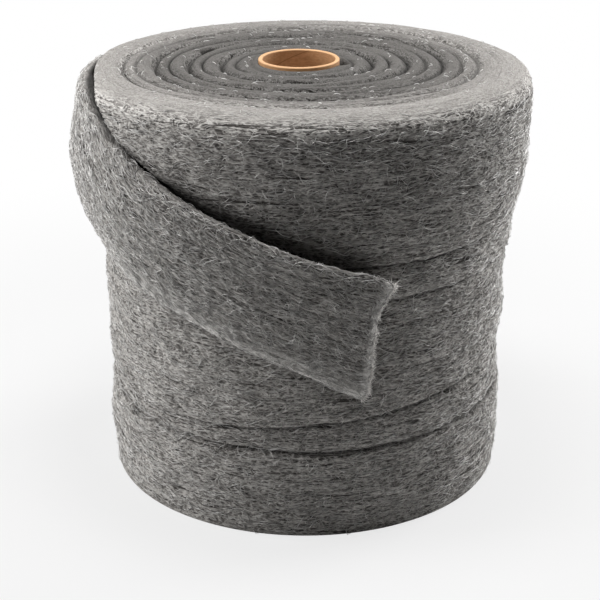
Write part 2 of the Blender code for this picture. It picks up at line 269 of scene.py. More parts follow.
def new_material(name):
    material = bpy.data.materials.new(name)
    material.use_nodes = True
    return material, material.node_tree, material.node_tree.nodes["Principled BSDF"]


def make_cardboard():
    material, tree, shader = new_material("spiral_wound_cardboard")
    place = add_node(tree, "ShaderNodeTexCoord").outputs["Object"]
    axes = add_node(tree, "ShaderNodeSeparateXYZ")
    tree.links.new(place, axes.inputs[0])
    stretched = add_node(tree, "ShaderNodeVectorMath", operation="MULTIPLY")
    stretched.inputs[1].default_value = (1, 1, 3.5)
    tree.links.new(place, stretched.inputs[0])
    mottle = noise_node(tree, stretched.outputs[0], 260, 6, 0.65)
    tone = ramp_node(tree, ((0.3, CARDBOARD_COLORS[0]), (0.7, CARDBOARD_COLORS[1])))
    tree.links.new(mottle, tone.inputs[0])

    angle = math_node(tree, "ARCTAN2", axes.outputs["Y"], axes.outputs["X"])
    turns = math_node(tree, "DIVIDE", angle, 2 * pi)
    climb = math_node(tree, "DIVIDE", axes.outputs["Z"], STRIP_PITCH)
    strip = math_node(tree, "FRACT", math_node(tree, "ADD", turns, climb))
    seam = math_node(tree, "LESS_THAN", strip, SEAM_SHARE)
    walls = mix_colors(tree, seam, tone.outputs[0], SEAM_COLOR)

    radius_vector = add_node(tree, "ShaderNodeVectorMath", operation="MULTIPLY")
    radius_vector.inputs[1].default_value = (1, 1, 0)
    tree.links.new(place, radius_vector.inputs[0])
    radius = add_node(tree, "ShaderNodeVectorMath", operation="LENGTH")
    tree.links.new(radius_vector.outputs[0], radius.inputs[0])
    ring = math_node(tree, "DIVIDE", radius.outputs["Value"], LAYER_THICKNESS)
    layers = math_node(tree, "PINGPONG", ring, 0.5)
    raw = mix_colors(tree, layers, CARDBOARD_COLORS[1], END_COLOR)
    upward = add_node(tree, "ShaderNodeSeparateXYZ")
    tree.links.new(add_node(tree, "ShaderNodeNewGeometry").outputs["Normal"], upward.inputs[0])
    end_face = math_node(tree, "GREATER_THAN", math_node(tree, "ABSOLUTE", upward.outputs["Z"]), 0.6)
    tree.links.new(mix_colors(tree, end_face, walls, raw), shader.inputs["Base Color"])

    rough = add_node(tree, "ShaderNodeMapRange")
    rough.inputs["To Min"].default_value = 0.62
    rough.inputs["To Max"].default_value = 0.85
    tree.links.new(mottle, rough.inputs["Value"])
    tree.links.new(rough.outputs["Result"], shader.inputs["Roughness"])
    bump = add_node(tree, "ShaderNodeBump")
    bump.inputs["Strength"].default_value = 0.25
    bump.inputs["Distance"].default_value = 0.3 * MM
    tree.links.new(mottle, bump.inputs["Height"])
    tree.links.new(bump.outputs[0], shader.inputs["Normal"])
    shader.inputs["Metallic"].default_value = 0.0
    return material


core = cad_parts["core_tube"]
core.material_slots[0].material = make_cardboard()
core_low, core_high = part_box("core_tube")
CORE_LENGTH = core_high.z - core_low.z
CORE_RADIUS = (core_high.x - core_low.x) / 2
print("core:", round(CORE_LENGTH / MM), "mm long,", round(2 * CORE_RADIUS / MM, 1), "mm across")

# %% [markdown]
# ## The winding's form
#
# The wound wool is a fat drum with a waist: the outer turns wander up and down the core and leave
# broad bands whose edges lap over each other, and the last ones flare out under the soft rim. The top
# shows the turns edge on, with a groove between one turn and the next.
#
# The solid has this form with few faces. A fine skin could be had by remeshing it, but a grid with its
# columns along the fibres and its rows across them spends its faces better: wool changes slowly along a
# fibre and fast across it. So the same outline is worked out again, for every column, with many rows.

# %% Sizes of the winding
ribbon_low, ribbon_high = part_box("steel_wool_ribbon")
CORE_STAND_OUT = 3.5 * MM
CORE_CLEARANCE = 0.3 * MM
TOP_HEIGHT = CORE_LENGTH - CORE_STAND_OUT
BORE_RADIUS = CORE_RADIUS + CORE_CLEARANCE
FOOT_RADIUS = 167 * MM
FOOT_ROUNDING = 5 * MM
RIM_RADIUS = 185.5 * MM
SHOULDER_RADIUS = 161.5 * MM
RIM_DROP = 17 * MM
RIM_SOFTNESS = 0.85
TOP_SLOPE = radians(1.1)
OFF_CENTRE = (5.6 * MM, 5.5 * MM)
EDGE_CREASE_WIDTH = 3.4 * MM
EDGE_CREASE_DEPTH = 3.6 * MM
BAND_BELLY = 0.8 * MM
BRIDGED_HEIGHT = 18 * MM

# Soft lumps of the matted wool: waves round the reel, the height of a wave, its sway and its shift
LUMP_HEIGHT = 0.75 * MM
LUMP_WAVES = ((16, 78 * MM, 1.4, 0.3), (11, 61 * MM, -2.1, 2.2))
LUMP_SWAYS = 2
LUMP_FADES = (41 * MM, 15 * MM)

# A crease where one outer turn laps over the next: its height, how far it tilts and toward which
# side, and how far the wool below and above it stands out from the foot's radius.
BandEdge = namedtuple("BandEdge", "height tilt high_side below above")
BAND_EDGES = (
    BandEdge(82.5 * MM, 6 * MM, radians(190), 1.6 * MM, -0.6 * MM),
    BandEdge(105.5 * MM, 15.5 * MM, radians(117), -1.4 * MM, -0.2 * MM),
    BandEdge(TOP_HEIGHT - 149.5 * MM, 0.0, 0.0, 2.4 * MM, 4.2 * MM),
    BandEdge(TOP_HEIGHT - 119.5 * MM, 0.0, 0.0, 5.4 * MM, 8.4 * MM),
)
print("reel:", round((ribbon_high.x - ribbon_low.x) / MM), "mm wide,", round(TOP_HEIGHT / MM), "mm tall")

# %% The side of the winding at one angle


def smooth_step(value, start, end):
    """Rise from 0 at `start` to 1 at `end` with level ends."""
    share = np.clip((value - start) / (end - start), 0.0, 1.0)
    return share * share * (3 - 2 * share)


def round_core(angle, radius, height):
    """Points at a radius from the winding's own centre, which drifts off the core's axis outward."""
    drift = np.minimum((radius - BORE_RADIUS) / (FOOT_RADIUS - BORE_RADIUS), 1.0)
    x = OFF_CENTRE[0] * drift + radius * np.sin(angle)
    y = OFF_CENTRE[1] * drift - radius * np.cos(angle)
    return np.stack((x, y, height + 0 * x), axis=-1)


def top_height(angle, radius):
    return TOP_HEIGHT + tan(TOP_SLOPE) * radius * np.cos(angle)


def rim_foot(angle):
    """Height at which the side ends and the rim's rounding starts."""
    return top_height(angle, RIM_RADIUS) - RIM_DROP


def rim_curve(angle, turns):
    """Radii and heights of the rim's rounding; turns run from 0 at its foot to pi / 2 at its shoulder."""
    radii = SHOULDER_RADIUS + (RIM_RADIUS - SHOULDER_RADIUS) * np.cos(turns) ** RIM_SOFTNESS
    heights = top_height(angle, radii) - RIM_DROP * (1 - np.sin(turns) ** RIM_SOFTNESS)
    return radii, heights


def soft_lumps(angle, height):
    """How far the matted wool stands out in soft lumps and dents on the side."""
    level = 0.0
    for waves, wave_height, sway, shift in LUMP_WAVES:
        sway = sway * sin(LUMP_SWAYS * angle + shift)
        level = level + sin(waves * angle + sway) * np.sin(2 * pi * height / wave_height + 3 * sway + shift)
    fade = smooth_step(height, 0.0, LUMP_FADES[0])
    return LUMP_HEIGHT * level * fade * (1 - smooth_step(height, rim_foot(angle) - LUMP_FADES[1], rim_foot(angle)))


def side_outline(angle):
    """Heights and radii of the few points that set the side's outline at one angle."""
    rows = [(FOOT_ROUNDING, FOOT_RADIUS)]
    for edge in BAND_EDGES:
        middle = edge.height + edge.tilt * cos(angle - edge.high_side)
        start_height, start_radius = rows[-1]
        end_height = middle - EDGE_CREASE_WIDTH / 2
        end_radius = FOOT_RADIUS + edge.below
        for share in (0.25, 0.5, 0.75):
            belly = BAND_BELLY * 4 * share * (1 - share)
            height = start_height + (end_height - start_height) * share
            rows.append((height, start_radius + (end_radius - start_radius) * share + belly))
        rows.append((end_height, end_radius))
        crease = FOOT_RADIUS + min(edge.below, edge.above) - EDGE_CREASE_DEPTH
        rows.append((middle, crease))
        rows.append((middle + EDGE_CREASE_WIDTH / 2, FOOT_RADIUS + edge.above))
    start_height, start_radius = rows[-1]
    end_height = rim_foot(angle)
    for share in (0.06, 0.12, 0.2, 0.3, 0.45, 0.6, 0.8, 1.0):
        flare = 1 - (1 - share) ** 3
        height = start_height + (end_height - start_height) * share
        rows.append((height, start_radius + (RIM_RADIUS - start_radius) * flare))
    return np.array(rows).T


def side_radius(angle, height):
    return np.interp(height, *side_outline(angle)) + soft_lumps(angle, height)


def even_radius(angle, height):
    """Mean radius of the side near a height: a ribbon laid on it bridges the creases."""
    reach = np.linspace(-BRIDGED_HEIGHT, BRIDGED_HEIGHT, 9)
    return side_radius(angle, np.asarray(height, float)[..., None] + reach).mean(axis=-1)


print("side radius at mid height, front:", round(float(even_radius(0.0, TOP_HEIGHT / 2)) / MM, 1), "mm")

# %% [markdown]
# ## The turns on top
#
# Seen from above, the ribbon is a spiral of nine turns. How far out a point lies, less how far round it
# is, gives its place across its own turn, so one formula draws the whole spiral: a narrow groove where
# that place is a whole number, and a soft crown in between. The grooves, the inner turns and a small
# pocket left beside the core, where the first turn was started, get painted shade.

# %% Height of the turns
TURNS = 9
TURN_PITCH = (SHOULDER_RADIUS - BORE_RADIUS) / TURNS
GROOVE_DEPTH = 5.6 * MM
GROOVE_WAVE = 2.2 * MM
GROOVE_SHARPNESS = 2.2
CROWN_WAVE = 1.2 * MM
CROWN_WAVES = 2
WANDER = 1.5 * MM
WANDER_WAVES = 3
TURN_SHIFT = 3.0
TURN_FADE = 14 * MM
POCKET_ANGLE = radians(97)
POCKET_WIDTH = radians(13)
POCKET_REACH = 6 * MM
POCKET_DEPTH = 11 * MM
TOP_SHADE_TONE = 0.47
TONE_RADII = (112 * MM, 163 * MM)
GROOVE_PAINTED_SHADE = 0.45


def turn_surface(angle, radius):
    """Height and tone of the top at angles and radii, with its crowns and grooves; the tone holds painted shade.
    """
    margin = np.minimum(radius - BORE_RADIUS, SHOULDER_RADIUS - radius)
    fade = smooth_step(margin, 0.0, TURN_FADE)
    trip = (angle + pi) / (2 * pi)
    along = (radius - BORE_RADIUS) / TURN_PITCH + 1
    straying = fade * WANDER * np.sin(WANDER_WAVES * angle + TURN_SHIFT * along)
    count = (radius - straying - BORE_RADIUS) / TURN_PITCH - trip
    across = count - np.floor(count)
    groove_number = np.round(count) + 1 + trip
    near_groove = 1 - 2 * np.minimum(across, 1 - across)
    groove = near_groove**GROOVE_SHARPNESS
    depth = GROOVE_DEPTH - GROOVE_WAVE * np.cos(TURN_SHIFT * groove_number)
    crown = CROWN_WAVE * np.sin(CROWN_WAVES * angle + TURN_SHIFT * along)
    beside_core = ((radius - BORE_RADIUS) / POCKET_REACH) ** 2 + ((angle - POCKET_ANGLE) / POCKET_WIDTH) ** 2
    pocket = POCKET_DEPTH * np.exp(-beside_core)
    height = top_height(angle, radius) + fade * (crown - depth * groove) - pocket
    # Painted shade in the grooves and the pocket; the inner turns get painted shade in the line below.
    dark = np.maximum(GROOVE_PAINTED_SHADE * fade * near_groove**5, 0.8 * pocket / POCKET_DEPTH)
    return height, TOP_SHADE_TONE + (1 - TOP_SHADE_TONE) * smooth_step(radius, *TONE_RADII) - dark


print("turns:", TURNS, "each", round(TURN_PITCH / MM, 1), "mm thick")

# %% [markdown]
# ## The way of the last turn
#
# The last turn of the ribbon comes out of the winding behind the left side. There it lies flat on the
# winding, over the soft rim, and sinks in beside it, so that only a thin crevice shows at its edge.
# From the front left on it hangs: it narrows to its own width and falls slantwise across the front, with
# its upper edge leaning away from the reel.
#
# So its section is worked out twice, once as a band that hugs the winding's outline and once as a
# straight hanging band, and one passes smoothly into the other. This comes before the winding's rows,
# because the winding gives way under the band.

# %% Edges of the last turn
RIBBON_WIDTH = 101.6 * MM
RIBBON_THICKNESS = 8.5 * MM
PULLED_WIDTH = 1.33 * RIBBON_WIDTH
FALL_ANGLE = radians(21)
FALL_START = radians(-57.5)
FALL_SOFTNESS = radians(6)
CUT_ANGLE = radians(17.5)
CUT_SLANT = radians(5)
BURIED_ANGLE = radians(-150)
EMERGED_ANGLE = radians(-108)
HANGING_ANGLES = (radians(-66), radians(-46))
UPPER_HANGING_ANGLES = (radians(-50), radians(-43))

# How far the upper edge reaches past the rim's foot while the last turn hugs the winding, at angles in
# degrees, as shares of the rim's rounding.
REACH_ANGLES = (-145, -98, -82, -70, -63, -57, -47, -40)
EDGE_REACHES = (0.42, 0.80, 0.78, 0.53, 0.14, -0.58, -1.28, -1.7)

# Toward its cut end the hanging ribbon is a little narrower than laid flat, and its corner dips.
UPPER_SAG = 6 * MM
LOWER_RISE = 5.5 * MM
LOWER_RISE_ANGLES = (radians(-50), radians(-15))
CORNER_DIP = 4 * MM
CORNER_DIP_ANGLES = (radians(2), radians(14))


def ribbon_edges(angle):
    """Heights of the last turn's lower and upper edge where it hangs."""
    fall = FALL_SOFTNESS * log(1 + exp((angle - FALL_START) / FALL_SOFTNESS)) * RIM_RADIUS * tan(FALL_ANGLE)
    lower = TOP_HEIGHT - PULLED_WIDTH - fall
    upper = lower + RIBBON_WIDTH / cos(FALL_ANGLE) - UPPER_SAG
    rise = LOWER_RISE * smooth_step(angle, *LOWER_RISE_ANGLES)
    return lower + rise - CORNER_DIP * smooth_step(angle, *CORNER_DIP_ANGLES), upper


def upper_reach(angle):
    """How far the upper edge reaches past the rim's foot, along the winding's outline."""
    nearby = np.degrees(angle) + np.linspace(-2.5, 2.5, 5)
    hugging = (RIM_RADIUS - SHOULDER_RADIUS) * np.interp(nearby, REACH_ANGLES, EDGE_REACHES).mean()
    hanging = ribbon_edges(angle)[1] - rim_foot(angle)
    return hugging + (hanging - hugging) * smooth_step(angle, *UPPER_HANGING_ANGLES)


print("upper edge at -60 degrees reaches", round(upper_reach(radians(-60)) / MM, 1), "mm past the rim's foot")

# %% Section of the last turn
BURIED_DEPTH = 11 * MM
GIVING_WAY = 9 * MM
GIVING_WAY_ANGLES = (radians(-60), radians(80))
WRAP_SLACK = 1 * MM
WRAP_BELLY = 12.5 * MM
STAND_OFF_START = radians(-72)
EDGE_STAND_OFF = 16 * MM
LOWER_EDGE_PRESS = -2.5 * MM
LOWEST_EDGE = 120 * MM
SIDE_STEPS = 160
RIM_STEPS = 60

# How far the hugging band's middle line stands out at places across it from below, as shares of its
# thickness.
PUFF_PLACES = (0.0, 0.25, 0.5, 0.7, 0.85, 1.0)
PUFFS = (0.38, 0.92, 0.82, 0.25, -0.25, -0.5)

# How far the cut end reaches on past its mean line, at places across it from below
CUT_PLACES = (0.0, 0.04, 0.12, 0.2, 0.35, 0.5, 0.66, 0.72, 0.8, 0.86, 0.92, 0.96, 1.0)
CUT_REACHES = (-3, 0, 0, -0.5, -3.5, -5, -6.5, -7, -6.5, -5, -2, -1, -5)
CUT_BLEND = radians(5)


def bridged_outline(angle):
    """Lengths past the rim's foot, radii and heights of the outline, as the ribbon bridges its creases."""
    side_heights = np.linspace(LOWEST_EDGE, rim_foot(angle), SIDE_STEPS)
    rim_radii, rim_heights = rim_curve(angle, np.linspace(0, pi / 2, RIM_STEPS)[1:])
    heights = np.concatenate((side_heights, rim_heights))
    radii = np.concatenate((even_radius(angle, side_heights), rim_radii))
    lengths = np.concatenate(([0.0], np.cumsum(np.hypot(np.diff(radii), np.diff(heights)))))
    return lengths - lengths[SIDE_STEPS - 1], radii, heights


def hugging_section(angle, outline, share):
    """Middle line of the band that hugs the winding, and the way its thickness points."""
    lengths, radii, heights = outline
    outward_radius, outward_height = np.gradient(heights), -np.gradient(radii)
    size = np.hypot(outward_radius, outward_height)
    low = np.interp(ribbon_edges(angle)[0], heights[:SIDE_STEPS], lengths[:SIDE_STEPS])
    place = low + (upper_reach(angle) - low) * share
    nearby = share[:, None] + np.linspace(-0.08, 0.08, 7)
    puff = RIBBON_THICKNESS * np.interp(nearby, PUFF_PLACES, PUFFS).mean(axis=1)
    puff = puff - BURIED_DEPTH * (1 - smooth_step(angle, BURIED_ANGLE, EMERGED_ANGLE))
    out_radius = np.interp(place, lengths, outward_radius / size)
    out_height = np.interp(place, lengths, outward_height / size)
    radius = np.interp(place, lengths, radii) + puff * out_radius
    return radius, np.interp(place, lengths, heights) + puff * out_height, out_radius, out_height


def hanging_section(angle, outline, share):
    """Middle line of the straight hanging band."""
    lengths, _, heights = outline
    lower, upper = ribbon_edges(angle)[0], np.interp(upper_reach(angle), lengths, heights)
    away = smooth_step(angle, STAND_OFF_START, 0.0)
    stand_off = WRAP_SLACK + (EDGE_STAND_OFF - WRAP_SLACK) * away
    behind = RIM_RADIUS - GIVING_WAY * (1 - smooth_step(angle, *GIVING_WAY_ANGLES))
    low = even_radius(angle, lower) + RIBBON_THICKNESS / 2 - LOWER_EDGE_PRESS
    high = np.minimum(even_radius(angle, upper), behind) + RIBBON_THICKNESS / 2 + stand_off
    belly = WRAP_BELLY * (1 - away) * 4 * share * (1 - share)
    return low + (high - low) * share + belly, lower + (upper - lower) * share


def ribbon_section(angle, width_way, depth_way):
    """Points of the last turn's section; width_way and depth_way run from -1 to 1 across it."""
    share = (1 + width_way) / 2
    outline = bridged_outline(angle)
    radius, height, out_radius, out_height = hugging_section(angle, outline, share)
    hanging_radius, hanging_height = hanging_section(angle, outline, share)
    hangs = smooth_step(angle, *HANGING_ANGLES)
    radius = radius + (hanging_radius - radius) * hangs
    height = height + (hanging_height - height) * hangs
    out_radius, out_height = out_radius * (1 - hangs) + hangs, out_height * (1 - hangs)
    size = np.hypot(out_radius, out_height)
    half = RIBBON_THICKNESS / 2 * depth_way
    ragged = MM * np.interp(share, CUT_PLACES, CUT_REACHES) * smooth_step(angle, CUT_ANGLE - CUT_BLEND, CUT_ANGLE)
    turned = angle + CUT_SLANT * (share - 0.5) + ragged / RIM_RADIUS
    return round_core(turned, radius + half * out_radius / size, height + half * out_height / size)


print("free end: cut at", round(np.degrees(CUT_ANGLE), 1), "degrees round from the front")

# %% [markdown]
# ## A skin of rows and columns
#
# Each column is one closed outline: along the underside, up the side, round the soft rim, in over the
# turns and down the bore. The columns join into a closed skin with no seam. The underside and the bore
# are hidden and flat, so they get few rows. Where the last turn hugs the winding, the outline is pressed
# in under it, up to the turn's edge.

# %% Rows of the winding
COLUMNS = 284
SIDE_ROWS = 226
RIM_ROWS = 22
TURN_ROWS = 86
FOOT_ROWS = 4
HIDDEN_ROWS = 5
PRESS_DEPTH = 13 * MM
PRESS_START_ANGLES = (radians(-110), radians(-92))
PRESS_END_ANGLES = (radians(-48), radians(-28))
CREVICE_WIDTH = 4 * MM
CREVICE_PAINTED_SHADE = 0.9
CREASE_PAINTED_SHADE = 0.75
CREASE_SHADE_WIDTH = 1.4 * MM
DARKEST_CREASE_SHADE = radians(35)
SHADE_FROM = (radians(-75), radians(-45))
SHADE_TO = (radians(12), radians(24))
SHADE_ABOVE = 0.72
SHADE_BELOW = 0.4
SHADE_HEIGHTS = (22 * MM, 26 * MM)
RIM_PAINTED_SHEEN = 1.18
RIM_SHEEN_HEIGHTS = (-8 * MM, 2 * MM)


def pressed_in(angle, radii, heights, foot):
    """Push the outline inward where the last turn lies on it; `foot` is the row of the rim's foot."""
    arc = np.concatenate(([0.0], np.cumsum(np.hypot(np.diff(radii), np.diff(heights)))))
    past_edge = arc - arc[foot] - upper_reach(angle)
    under = smooth_step(past_edge, -45 * MM, -20 * MM) * (1 - smooth_step(past_edge, 0.0, CREVICE_WIDTH))
    covered = smooth_step(angle, *PRESS_START_ANGLES) * (1 - smooth_step(angle, *PRESS_END_ANGLES))
    depth = PRESS_DEPTH * under * covered
    out_radius, out_height = np.gradient(heights), -np.gradient(radii)
    size = np.hypot(out_radius, out_height)
    return radii - depth * out_radius / size, heights - depth * out_height / size, under * covered


def side_tone(angle, heights):
    """Tone of the side: painted shade in the creases where one turn laps over the next, painted sheen near the
    rim.
    """
    dark = 0.0
    # Each crease gets a painted shade, where the lip above it would shade the wool.
    for edge in BAND_EDGES:
        middle = edge.height + edge.tilt * cos(angle - edge.high_side)
        strength = CREASE_PAINTED_SHADE * (0.6 + 0.4 * cos(angle - DARKEST_CREASE_SHADE))
        dark = np.maximum(dark, strength * np.exp(-(((heights - middle) / CREASE_SHADE_WIDTH) ** 2)))
    # Above the rim's foot the tone rises over 1: a painted sheen.
    return 1 - dark + (RIM_PAINTED_SHEEN - 1) * smooth_step(heights - rim_foot(angle), *RIM_SHEEN_HEIGHTS)


def painted_shadow_beside_free_end(angle, heights):
    """How much painted shadow the hanging end casts on the side, from 0 to 1."""
    lower, upper = ribbon_edges(angle)
    shown = smooth_step(angle, *SHADE_FROM) * (1 - smooth_step(angle, *SHADE_TO))
    above = SHADE_ABOVE * (1 - smooth_step(heights - upper, 0.0, SHADE_HEIGHTS[0])) * (heights > lower)
    below = SHADE_BELOW * (1 - smooth_step(lower - heights, 0.0, SHADE_HEIGHTS[1])) * (heights <= lower)
    return shown * (above + below)


def winding_outline(angle):
    """Radii, heights and tones once round the winding's section at one angle."""
    under = np.linspace(BORE_RADIUS, FOOT_RADIUS - FOOT_ROUNDING, HIDDEN_ROWS)
    bend = np.linspace(0, pi / 2, FOOT_ROWS + 1)[1:-1]
    foot_radii = FOOT_RADIUS - FOOT_ROUNDING * (1 - np.sin(bend))
    foot_heights = FOOT_ROUNDING * (1 - np.cos(bend))

    side_heights = np.linspace(FOOT_ROUNDING, rim_foot(angle), SIDE_ROWS)
    side_radii = side_radius(angle, side_heights)
    softened = np.convolve(side_radii, (0.25, 0.5, 0.25), "same")
    side_radii[1:-1] = softened[1:-1]

    rim_radii, rim_heights = rim_curve(angle, np.linspace(0, pi / 2, RIM_ROWS + 1)[1:])
    outer_radii = np.concatenate((side_radii, rim_radii))
    outer_heights = np.concatenate((side_heights, rim_heights))
    # The tone carries painted shade in the creases, a painted sheen near the rim and the painted shadow of the
    # hanging end.
    outer_tones = side_tone(angle, outer_heights) * (1 - painted_shadow_beside_free_end(angle, outer_heights))
    # Over the rim's rounding the painted sheen fades back out toward the top.
    outer_tones[SIDE_ROWS:] += (1 - RIM_PAINTED_SHEEN) * np.linspace(0, 1, RIM_ROWS) ** 2
    outer_radii, outer_heights, pressed = pressed_in(angle, outer_radii, outer_heights, SIDE_ROWS - 1)
    # Painted shade in the crevice, where the winding is pressed in under the last turn.
    outer_tones *= 1 - CREVICE_PAINTED_SHADE * pressed

    turn_radii = np.linspace(SHOULDER_RADIUS, BORE_RADIUS, TURN_ROWS + 1)[1:]
    turn_heights, turn_tones = turn_surface(angle, turn_radii)
    bore_heights = np.linspace(turn_heights[-1], 0, HIDDEN_ROWS)[1:-1]
    bore_radii = np.full(HIDDEN_ROWS - 2, BORE_RADIUS)
    all_radii = (under, foot_radii, outer_radii, turn_radii, bore_radii)
    all_heights = (0 * under, foot_heights, outer_heights, turn_heights, bore_heights)
    all_tones = (0 * under + 1, 0 * foot_radii + 1, outer_tones, turn_tones, 0 * bore_radii + 1)
    return np.concatenate(all_radii), np.concatenate(all_heights), np.concatenate(all_tones)


angles = 2 * pi * np.arange(COLUMNS) / COLUMNS - pi
outlines = [winding_outline(angle) for angle in angles]
winding_points = np.stack([round_core(a, *outline[:2]) for a, outline in zip(angles, outlines)], axis=1)
winding_tones = np.stack([outline[2] for outline in outlines], axis=1)
first_side_row = HIDDEN_ROWS + FOOT_ROWS - 1
last_turn_row = first_side_row + SIDE_ROWS + RIM_ROWS + TURN_ROWS - 1
print("rows x columns:", winding_points.shape[:2], "side from row", first_side_row, "to", last_turn_row)

# %% [markdown]
# ## Matted relief
#
# Matted wool is uneven at several sizes at once: soft lumps a few centimetres long, ropes of fibres a
# finger-nail wide, and thin slits where the mat has parted. Each is a smooth random field stretched
# along the fibres. The slits are the lines where a field passes through zero, which makes thin curved
# cuts that start and end by themselves. The fields repeat once round the reel, so there is no seam.

# %% Random fields
LAP = 2 * pi * RIM_RADIUS


def random_field(along, across, cell_length, cell_width, seed):
    """Smooth random values from -1 to 1 at places given in metres along and across the fibres."""
    cells = max(round(LAP / cell_length), 3)
    rows = 2048
    values = np.random.default_rng(seed).uniform(-1, 1, (rows, cells))
    x = along / LAP * cells
    y = across / cell_width + rows / 2
    column, row = np.floor(x).astype(int), np.floor(y).astype(int)
    x, y = x - column, y - row
    x, y = x * x * (3 - 2 * x), y * y * (3 - 2 * y)
    low = values[row % rows, column % cells] * (1 - x) + values[row % rows, (column + 1) % cells] * x
    row = row + 1
    high = values[row % rows, column % cells] * (1 - x) + values[row % rows, (column + 1) % cells] * x
    return low * (1 - y) + high * y


def slits(along, across, length, width, thinness, seed):
    """1 on the thin lines where a random field passes through zero, and 0 away from them."""
    field = random_field(along, across, length, width, seed)
    field = field + 0.45 * random_field(along, across, length / 2.3, width / 2, seed + 1)
    open_here = smooth_step(random_field(along, across, 1.6 * length, 3 * width, seed + 2), -0.25, 0.25)
    return np.exp(-((field / thinness) ** 2)) * open_here


def matted_relief(along, across, seed):
    """How far the matted surface stands above its mean form, in metres."""
    swerve = 2.2 * MM * random_field(along, across, 34 * MM, 16 * MM, seed)
    across = across + swerve
    lumps = 0.45 * random_field(along, across, 42 * MM, 22 * MM, seed + 1)
    ropes = 0.4 * random_field(along, across, 26 * MM, 6 * MM, seed + 2)
    threads = 0.3 * random_field(along, across, 11 * MM, 3 * MM, seed + 3)
    short_slits = 0.35 * slits(along, across, 17 * MM, 4.6 * MM, 0.14, seed + 4)
    long_slits = 0.8 * slits(along, across, 90 * MM, 11 * MM, 0.06, seed + 8)
    return MM * (lumps + ropes + threads - short_slits - long_slits)


sample = matted_relief(np.linspace(0, LAP, 2000), np.linspace(0, 0.3, 2000), 0)
print("relief from", round(sample.min() / MM, 1), "to", round(sample.max() / MM, 1), "mm")

# %% Skins
Surface = namedtuple("Surface", "points normals along across closed tones")


def surface_normals(points, closed):
    """Unit normals of a grid of points whose rows run across the fibres and whose columns run along."""
    if closed:
        along = np.roll(points, -1, axis=1) - np.roll(points, 1, axis=1)
    else:
        along = np.gradient(points, axis=1)
    across = np.roll(points, -1, axis=0) - np.roll(points, 1, axis=0)
    normals = np.cross(along, across)
    return normals / np.maximum(np.linalg.norm(normals, axis=-1, keepdims=True), 1e-12)


def grid_steps(points, closed):
    """Metres from one column to the next in each row, and metres from row 0 to each row."""
    far = np.roll(points, -1, axis=1) if closed else points[:, 1:]
    near = points if closed else points[:, :-1]
    along = np.linalg.norm(far - near, axis=-1).mean(axis=1)
    steps = np.linalg.norm(np.diff(points, axis=0), axis=-1).mean(axis=1)
    return along, np.concatenate(([0.0], np.cumsum(steps)))


def grid_faces(rows, columns, closed):
    """Four-sided faces of a grid whose rows close into a ring, and its columns too if `closed`."""
    row, column = np.meshgrid(np.arange(rows), np.arange(columns if closed else columns - 1), indexing="ij")
    next_row, next_column = (row + 1) % rows, (column + 1) % columns
    corners = ((row, column), (row, next_column), (next_row, next_column), (next_row, column))
    return np.stack([r * columns + c for r, c in corners], axis=-1).reshape(-1, 4)


def mesh_piece(name, points, faces, material):
    """A smooth-shaded object from points and faces."""
    mesh = bpy.data.meshes.new(name)
    mesh.from_pydata(points.tolist(), [], faces if isinstance(faces, list) else faces.tolist())
    mesh.shade_smooth()
    mesh.materials.append(material)
    piece = bpy.data.objects.new(name, mesh)
    bpy.context.scene.collection.objects.link(piece)
    return piece


def add_grain_map(piece, grain):
    """Keep three numbers in metres at each point, which tell the material how the fibres run."""
    layer = piece.data.attributes.new("grain", "FLOAT_VECTOR", "POINT")
    layer.data.foreach_set("vector", grain.astype(np.float32).ravel())


def add_number_map(piece, name, values):
    """Keep one number at each point, for the material to read by its name."""
    layer = piece.data.attributes.new(name, "FLOAT", "POINT")
    layer.data.foreach_set("value", np.asarray(values, np.float32).ravel())


print("ready to build skins")

# %% [markdown]
# ## Steel wool as a material
#
# The skin's material adds what is finer than its faces. Plain noise looks like felt, so the threads are
# drawn as the thin lines where a smooth noise passes through its middle value: such lines are long,
# curved, never end in a corner and cross each other in the next layer, as fibres do. Three layers lean
# different ways. Between the threads lies a dark, finer mat, and here and there it has parted in a long
# dark slit. Where the pattern is lowest, in the gaps and slits, its color is painted shade. The same
# pattern raises the surface as a bump.
#
# The pattern needs to know which way the fibres run. So each point of a skin keeps three numbers in
# metres: two that go round with the fibres and one across them. Scaled little the first two and much
# the last one, a noise in that space is drawn out along the fibres, and it has no seam where the
# winding closes on itself. Moving the third number to and fro by another noise makes the threads sway.
#
# On top, where the skin faces up, the turns show their edges, which are a finer and more even nap, so
# there the color blends into a quieter noise. The ribbon's own edges are combed smooth and get a painted
# highlight where the fibre ends catch the light: a fourth number at each point says how near such an
# edge is.

# %% Steel wool
GAP_SHADE_COLOR = (0.075, 0.070, 0.065)
MAT_COLOR = (0.215, 0.203, 0.192)
THREAD_COLOR = (0.44, 0.421, 0.399)
PALE_COLOR = (0.66, 0.640, 0.614)
COMBED_HIGHLIGHT_COLOR = (0.96, 0.935, 0.905)
EDGE_COLOR = (0.35, 0.334, 0.316)

# length and width of a layer's cells in metres, sway, thinness and brightness of its threads
THREAD_LAYERS = (
    (36 * MM, 2.6 * MM, 1.5 * MM, 0.06, 0.9),
    (12 * MM, 2.6 * MM, 5 * MM, 0.065, 1.0),
    (7 * MM, 3.4 * MM, 9 * MM, 0.06, 1.0),
)
SWAY_LENGTH = 26 * MM


